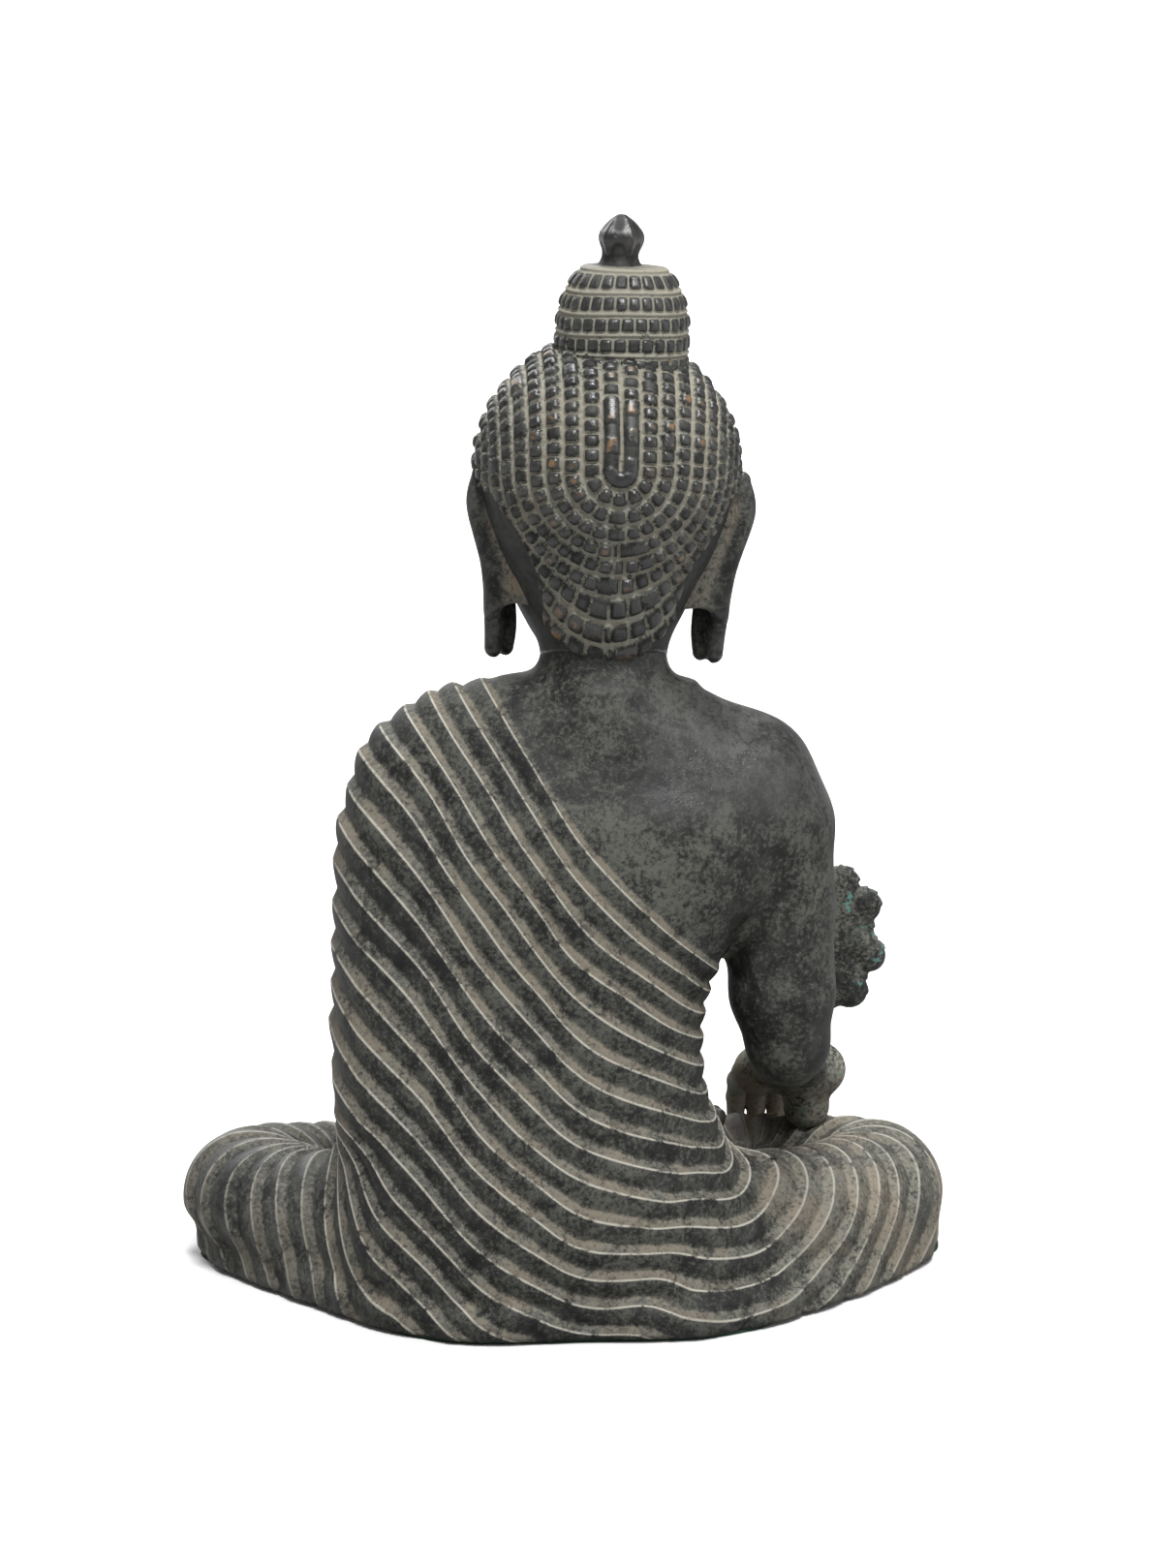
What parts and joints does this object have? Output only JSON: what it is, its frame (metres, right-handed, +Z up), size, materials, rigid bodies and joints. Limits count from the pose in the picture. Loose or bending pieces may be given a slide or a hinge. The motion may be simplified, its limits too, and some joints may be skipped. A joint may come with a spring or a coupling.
{
  "type": "seated buddha statue",
  "caption": "Seated healing Buddha of cast brass in a pleated robe, with a medicine bowl in the lap, a fruiting sprig in the hand and a tall topknot.",
  "frame": {"origin": "on the table under the felt pad, below the spine of the figure", "axes": "+Z up, the figure faces -Y, its left side is +X"},
  "size_m": [0.1567, 0.1013, 0.216],
  "materials": {
    "patinated_brass": "dark antique patina with pale dust in the recesses",
    "bare_brass": "turned, dull",
    "zinc_screw": "bright zinc plate",
    "felt": "dense black wool felt"
  },
  "bodies": {
    "root": {"seat_casting": "patinated_brass", "torso_casting": "patinated_brass", "head_casting": "patinated_brass", "topknot": "patinated_brass", "finial": "patinated_brass", "left_ear": "patinated_brass", "right_ear": "patinated_brass", "right_arm": "patinated_brass", "right_hand": "patinated_brass", "sprig": "patinated_brass", "left_arm": "patinated_brass", "left_hand": "patinated_brass", "bowl": "patinated_brass", "left_foot": "patinated_brass", "right_foot": "patinated_brass", "robe_hem": "patinated_brass", "neck_sleeve": "bare_brass", "topknot_dowel": "bare_brass", "waist_dowels": "bare_brass", "right_arm_dowel": "bare_brass", "right_wrist_dowel": "bare_brass", "left_wrist_dowel": "bare_brass", "bowl_dowel": "bare_brass", "base_plate": "bare_brass", "base_screws": "zinc_screw", "felt_pad": "felt"}
  },
  "joints": []
}
